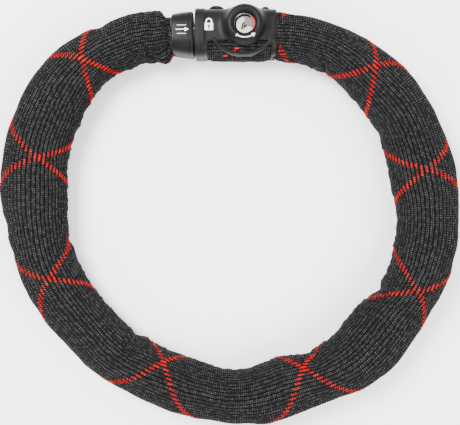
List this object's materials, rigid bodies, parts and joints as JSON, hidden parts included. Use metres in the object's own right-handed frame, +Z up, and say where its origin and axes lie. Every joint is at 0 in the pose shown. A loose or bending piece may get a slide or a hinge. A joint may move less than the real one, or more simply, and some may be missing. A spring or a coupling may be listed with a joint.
{
  "type": "chain lock",
  "caption": "Keyed chain lock: square steel links in a ribbed textile sleeve, joined in a ring by a locking pin that enters a small boxed lock body with a round key boss.",
  "frame": {"origin": "middle of the closed ring's outer box, on the surface that it lies on", "axes": "+Z up from that surface, +X along the lock body away from the locking pin, +Y from the ring's middle to the lock body"},
  "size_m": [0.3241, 0.2988, 0.042],
  "materials": {
    "housing_plastic": "fine moulded grain, satin",
    "collar_plastic": "fine moulded grain, satin",
    "sleeve_fabric": "ribbed black textile tube with crossing red tracer yarns",
    "chain_steel": "hardened, zinc plated",
    "core_steel": "machined and hardened",
    "pin_steel": "ground and nickel plated",
    "small_steel": "black oxide",
    "cylinder_brass": "turned",
    "plug_chrome": "polished plate",
    "cover_steel": "brushed",
    "ring_red": "gloss"
  },
  "bodies": {
    "lock": {"housing_cover": "housing_plastic", "housing_base": "housing_plastic", "housing_screws": "small_steel", "sleeve_lock_span": "sleeve_fabric", "lock_core": "core_steel", "core_base_plate": "core_steel", "anchor_pin": "core_steel", "cylinder_barrel": "cylinder_brass", "keyhole_ring": "ring_red", "plate_screws": "small_steel", "cover_spring": "small_steel"},
    "key_plug": {"key_plug": "plug_chrome", "tumbler_discs": "cylinder_brass", "disc_spacers": "cylinder_brass", "sidebar": "core_steel", "locking_cam": "core_steel", "cam_clip": "small_steel"},
    "latch": {"latch_bolt": "core_steel"},
    "keyway_cover": {"keyway_cover": "cover_steel"},
    "link_01": {"link_01": "chain_steel", "sleeve_01": "sleeve_fabric"},
    "link_02": {"link_02": "chain_steel", "sleeve_02": "sleeve_fabric"},
    "link_03": {"link_03": "chain_steel", "sleeve_03": "sleeve_fabric"},
    "link_04": {"link_04": "chain_steel", "sleeve_04": "sleeve_fabric"},
    "link_05": {"link_05": "chain_steel", "sleeve_05": "sleeve_fabric"},
    "link_06": {"link_06": "chain_steel", "sleeve_06": "sleeve_fabric"},
    "link_07": {"link_07": "chain_steel", "sleeve_07": "sleeve_fabric"},
    "link_08": {"link_08": "chain_steel", "sleeve_08": "sleeve_fabric"},
    "link_09": {"link_09": "chain_steel", "sleeve_09": "sleeve_fabric"},
    "link_10": {"link_10": "chain_steel", "sleeve_10": "sleeve_fabric"},
    "link_11": {"link_11": "chain_steel", "sleeve_11": "sleeve_fabric"},
    "link_12": {"link_12": "chain_steel", "sleeve_12": "sleeve_fabric"},
    "link_13": {"link_13": "chain_steel", "sleeve_13": "sleeve_fabric"},
    "link_14": {"link_14": "chain_steel", "sleeve_14": "sleeve_fabric"},
    "link_15": {"link_15": "chain_steel", "sleeve_15": "sleeve_fabric"},
    "link_16": {"link_16": "chain_steel", "sleeve_16": "sleeve_fabric"},
    "link_17": {"link_17": "chain_steel", "sleeve_17": "sleeve_fabric"},
    "link_18": {"link_18": "chain_steel", "sleeve_18": "sleeve_fabric"},
    "pin_end": {"locking_pin": "pin_steel", "bolt_collar": "collar_plastic", "sleeve_clamp": "small_steel"}
  },
  "joints": [
    {"name": "anchor_swing", "type": "hinge", "parent": "lock", "child": "link_01", "pos_m": [0.0325, 0.1299, 0.02], "axis": [0, 0, 1], "range_deg": [-2.52, 0.02]},
    {"name": "swing_01_02", "type": "hinge", "parent": "link_01", "child": "link_02", "pos_m": [0.0653, 0.12359, 0.02], "axis": [0, 0, 1], "range_deg": [-4.62, 0.02]},
    {"name": "swing_02_03", "type": "hinge", "parent": "link_02", "child": "link_03", "pos_m": [0.11073, 0.09223, 0.02], "axis": [0, 0, 1], "range_deg": [-4.62, 0.02]},
    {"name": "swing_03_04", "type": "hinge", "parent": "link_03", "child": "link_04", "pos_m": [0.1286, 0.06402, 0.02], "axis": [0, 0, 1], "range_deg": [-4.62, 0.02]},
    {"name": "swing_04_05", "type": "hinge", "parent": "link_04", "child": "link_05", "pos_m": [0.14192, 0.01045, 0.02], "axis": [0, 0, 1], "range_deg": [-1.29, 0.02]},
    {"name": "swing_05_06", "type": "hinge", "parent": "link_05", "child": "link_06", "pos_m": [0.13994, -0.02289, 0.02], "axis": [0, 0, 1], "range_deg": [-0.02, 0.8383]},
    {"name": "swing_06_07", "type": "hinge", "parent": "link_06", "child": "link_07", "pos_m": [0.1175, -0.07333, 0.02], "axis": [0, 0, 1], "range_deg": [-0.02, 3.77]},
    {"name": "swing_07_08", "type": "hinge", "parent": "link_07", "child": "link_08", "pos_m": [0.09407, -0.09713, 0.02], "axis": [0, 0, 1], "range_deg": [-0.02, 4.62]},
    {"name": "swing_08_09", "type": "hinge", "parent": "link_08", "child": "link_09", "pos_m": [0.04545, -0.12326, 0.02], "axis": [0, 0, 1], "range_deg": [-0.02, 4.62]},
    {"name": "swing_09_10", "type": "hinge", "parent": "link_09", "child": "link_10", "pos_m": [0.01262, -0.12945, 0.02], "axis": [0, 0, 1], "range_deg": [-0.02, 4.62]},
    {"name": "swing_10_11", "type": "hinge", "parent": "link_10", "child": "link_11", "pos_m": [-0.0419, -0.12081, 0.02], "axis": [0, 0, 1], "range_deg": [-0.02, 4.62]},
    {"name": "chain_open", "type": "hinge", "parent": "link_11", "child": "link_12", "pos_m": [-0.07186, -0.10606, 0.02], "axis": [0, 0, 1], "range_deg": [0, 4.6]},
    {"name": "swing_12_13", "type": "hinge", "parent": "link_12", "child": "link_13", "pos_m": [-0.11316, -0.06943, 0.02], "axis": [0, 0, 1], "range_deg": [-0.02, 4.31]},
    {"name": "swing_13_14", "type": "hinge", "parent": "link_13", "child": "link_14", "pos_m": [-0.1301, -0.04064, 0.02], "axis": [0, 0, 1], "range_deg": [-0.02, 2.54]},
    {"name": "swing_14_15", "type": "hinge", "parent": "link_14", "child": "link_15", "pos_m": [-0.142, 0.01326, 0.02], "axis": [0, 0, 1], "range_deg": [-1.27, 0.02]},
    {"name": "swing_15_16", "type": "hinge", "parent": "link_15", "child": "link_16", "pos_m": [-0.13959, 0.04657, 0.02], "axis": [0, 0, 1], "range_deg": [-3.88, 0.02]},
    {"name": "swing_16_17", "type": "hinge", "parent": "link_16", "child": "link_17", "pos_m": [-0.11672, 0.09681, 0.02], "axis": [0, 0, 1], "range_deg": [-4.62, 0.02]},
    {"name": "swing_17_18", "type": "hinge", "parent": "link_17", "child": "link_18", "pos_m": [-0.09117, 0.11832, 0.02], "axis": [0, 0, 1], "range_deg": [-4.62, 0.02]},
    {"name": "pin_swing", "type": "hinge", "parent": "link_18", "child": "pin_end", "pos_m": [-0.0372, 0.1299, 0.02], "axis": [0, 0, 1], "range_deg": [-2.52, 0.02]},
    {"name": "key_turn", "type": "hinge", "parent": "lock", "child": "key_plug", "pos_m": [0.0103, 0.135, 0.022], "axis": [0, 0, 1], "range_deg": [0, 90]},
    {"name": "latch_slide", "type": "slide", "parent": "lock", "child": "latch", "axis": [0, -1, 0], "range_m": [-0.00002, 0.00202]},
    {"name": "cover_turn", "type": "hinge", "parent": "lock", "child": "keyway_cover", "pos_m": [0.0103, 0.135, 0.033], "axis": [0, 0, 1], "range_deg": [0, 75], "stiffness_Nm_per_rad": 0.0004, "springref_deg": -34.38}
  ],
  "couplings": [
    {"joint": "anchor_swing", "follows": "chain_open", "ratio": -0.54348},
    {"joint": "swing_01_02", "follows": "chain_open", "ratio": -1},
    {"joint": "swing_02_03", "follows": "chain_open", "ratio": -1},
    {"joint": "swing_03_04", "follows": "chain_open", "ratio": -1},
    {"joint": "swing_04_05", "follows": "chain_open", "ratio": -0.27712},
    {"joint": "swing_05_06", "follows": "chain_open", "ratio": 0.17789},
    {"joint": "swing_06_07", "follows": "chain_open", "ratio": 0.81468},
    {"joint": "swing_07_08", "follows": "chain_open", "ratio": 1},
    {"joint": "swing_08_09", "follows": "chain_open", "ratio": 1},
    {"joint": "swing_09_10", "follows": "chain_open", "ratio": 1},
    {"joint": "swing_10_11", "follows": "chain_open", "ratio": 1},
    {"joint": "swing_12_13", "follows": "chain_open", "ratio": 0.9334},
    {"joint": "swing_13_14", "follows": "chain_open", "ratio": 0.54856},
    {"joint": "swing_14_15", "follows": "chain_open", "ratio": -0.27181},
    {"joint": "swing_15_16", "follows": "chain_open", "ratio": -0.83864},
    {"joint": "swing_16_17", "follows": "chain_open", "ratio": -1},
    {"joint": "swing_17_18", "follows": "chain_open", "ratio": -1},
    {"joint": "pin_swing", "follows": "chain_open", "ratio": -0.54348},
    {"joint": "latch_slide", "follows": "key_turn", "m_per_rad": 0.0012732}
  ]
}
